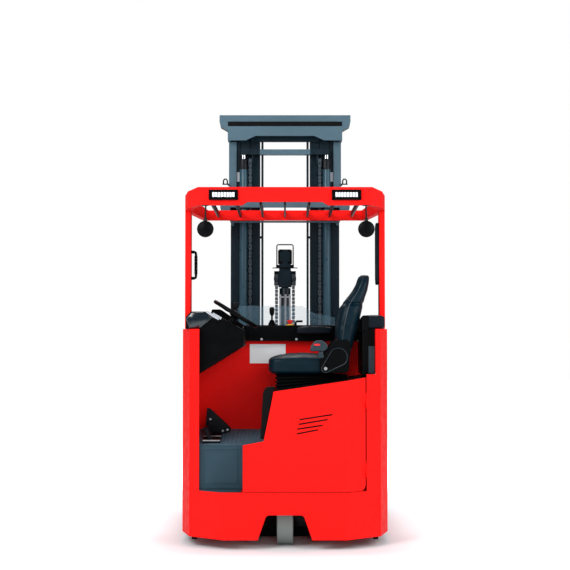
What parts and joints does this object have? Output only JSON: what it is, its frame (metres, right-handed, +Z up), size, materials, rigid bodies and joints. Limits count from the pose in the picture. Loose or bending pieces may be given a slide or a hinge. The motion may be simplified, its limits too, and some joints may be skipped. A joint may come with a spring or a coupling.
{
  "type": "reach truck",
  "caption": "Sit-on reach truck: sideways seat under a barred roof guard, with straddle legs and a telescopic fork mast that reaches forward.",
  "frame": {"origin": "on the floor, in the middle of the whole truck's box", "axes": "+X to the right seen from the rear, +Y forward to the fork tips, +Z up"},
  "size_m": [1.27, 2.4, 2.741],
  "materials": {
    "red_paint": "gloss",
    "dark_frame": "satin",
    "mast_paint": "satin",
    "tread_floor": "satin",
    "black_plastic": "moulded",
    "seat_cover": "woven",
    "grey_tyre": "smooth",
    "cast_hub": "satin",
    "chromed_rod": "polished",
    "chain_steel": "oiled",
    "fork_steel": "satin",
    "clear_sheet": "clear",
    "lamp_case": "gloss",
    "mirror_case": "moulded"
  },
  "bodies": {
    "root": {"chassis_base": "red_paint", "lower_frame": "red_paint", "reach_leg_right": "red_paint", "reach_leg_left": "red_paint", "side_panel_right": "red_paint", "side_panel_left": "red_paint", "bulkhead": "red_paint", "operator_floor": "tread_floor", "seat_deck": "red_paint", "seat_bellows": "black_plastic", "seat_cushion": "seat_cover", "seat_back": "seat_cover", "recliner_covers": "black_plastic", "side_trim": "black_plastic", "rear_pad": "black_plastic", "dash": "black_plastic", "pedals": "black_plastic", "console": "black_plastic", "armrest": "seat_cover", "controls": "black_plastic", "clear_screen": "clear_sheet", "guard_frame": "red_paint", "guard_posts": "red_paint", "guard_grille": "red_paint", "work_lamps": "lamp_case", "mirrors": "mirror_case", "grab_handle": "black_plastic", "post_pad": "black_plastic", "battery": "dark_frame", "battery_cover": "black_plastic", "reach_cylinder": "dark_frame", "drive_motor": "dark_frame"},
    "drive_turret": {"drive_unit": "cast_hub"},
    "drive_wheel": {"drive_hub": "cast_hub", "drive_tyre": "grey_tyre"},
    "load_wheel_right": {"load_hub_right": "cast_hub", "load_tyre_right": "grey_tyre"},
    "load_wheel_left": {"load_hub_left": "cast_hub", "load_tyre_left": "grey_tyre"},
    "steering": {"steering_wheel": "black_plastic"},
    "door": {"service_door": "red_paint"},
    "mast_foot": {"reach_carriage": "mast_paint", "outer_mast": "mast_paint", "lift_cylinders": "mast_paint", "reach_rod": "chromed_rod"},
    "middle_stage": {"middle_mast": "mast_paint", "lift_rods": "chromed_rod", "main_chains": "chain_steel"},
    "inner_stage": {"inner_mast": "mast_paint"},
    "free_lift": {"crosshead": "mast_paint", "free_chains": "chain_steel"},
    "carriage": {"lift_carriage": "mast_paint"},
    "shifter": {"side_shifter": "mast_paint"},
    "forks": {"fork_frame": "mast_paint", "fork_right": "fork_steel", "fork_left": "fork_steel"}
  },
  "joints": [
    {"name": "drive_steer", "type": "hinge", "parent": "root", "child": "drive_turret", "pos_m": [0, -0.94, 0.4], "axis": [0, 0, 1], "range_deg": [-90, 90]},
    {"name": "drive_roll", "type": "hinge", "parent": "drive_turret", "child": "drive_wheel", "pos_m": [0, -0.94, 0.1715], "axis": [1, 0, 0], "continuous": true},
    {"name": "load_roll_right", "type": "hinge", "parent": "root", "child": "load_wheel_right", "pos_m": [0.5675, 0.513, 0.1425], "axis": [1, 0, 0], "continuous": true},
    {"name": "load_roll_left", "type": "hinge", "parent": "root", "child": "load_wheel_left", "pos_m": [-0.5675, 0.513, 0.1425], "axis": [1, 0, 0], "continuous": true},
    {"name": "steering_turn", "type": "hinge", "parent": "root", "child": "steering", "pos_m": [-0.305, -0.88, 1.4], "axis": [0.5225, 0, 0.8526], "continuous": true},
    {"name": "door_swing", "type": "hinge", "parent": "root", "child": "door", "pos_m": [0.49008, -1.10999, 0.6], "axis": [0, 0, 1], "range_deg": [0, 100]},
    {"name": "reach", "type": "slide", "parent": "root", "child": "mast_foot", "axis": [0, 1, 0], "range_m": [0, 0.56]},
    {"name": "middle_lift", "type": "slide", "parent": "mast_foot", "child": "middle_stage", "axis": [0, 0, 1], "range_m": [0, 1.9]},
    {"name": "inner_lift", "type": "slide", "parent": "middle_stage", "child": "inner_stage", "axis": [0, 0, 1], "range_m": [0, 1.9]},
    {"name": "carriage_lift", "type": "slide", "parent": "inner_stage", "child": "carriage", "axis": [0, 0, 1], "range_m": [0, 1.9]},
    {"name": "crosshead_lift", "type": "slide", "parent": "inner_stage", "child": "free_lift", "axis": [0, 0, 1], "range_m": [0, 0.95]},
    {"name": "side_shift", "type": "slide", "parent": "carriage", "child": "shifter", "axis": [1, 0, 0], "range_m": [-0.075, 0.075]},
    {"name": "fork_tilt", "type": "hinge", "parent": "shifter", "child": "forks", "pos_m": [0, 0.076, 0.463], "axis": [1, 0, 0], "range_deg": [-2, 4]}
  ],
  "couplings": [
    {"joint": "inner_lift", "follows": "middle_lift", "ratio": 1},
    {"joint": "crosshead_lift", "follows": "carriage_lift", "ratio": 0.5}
  ]
}
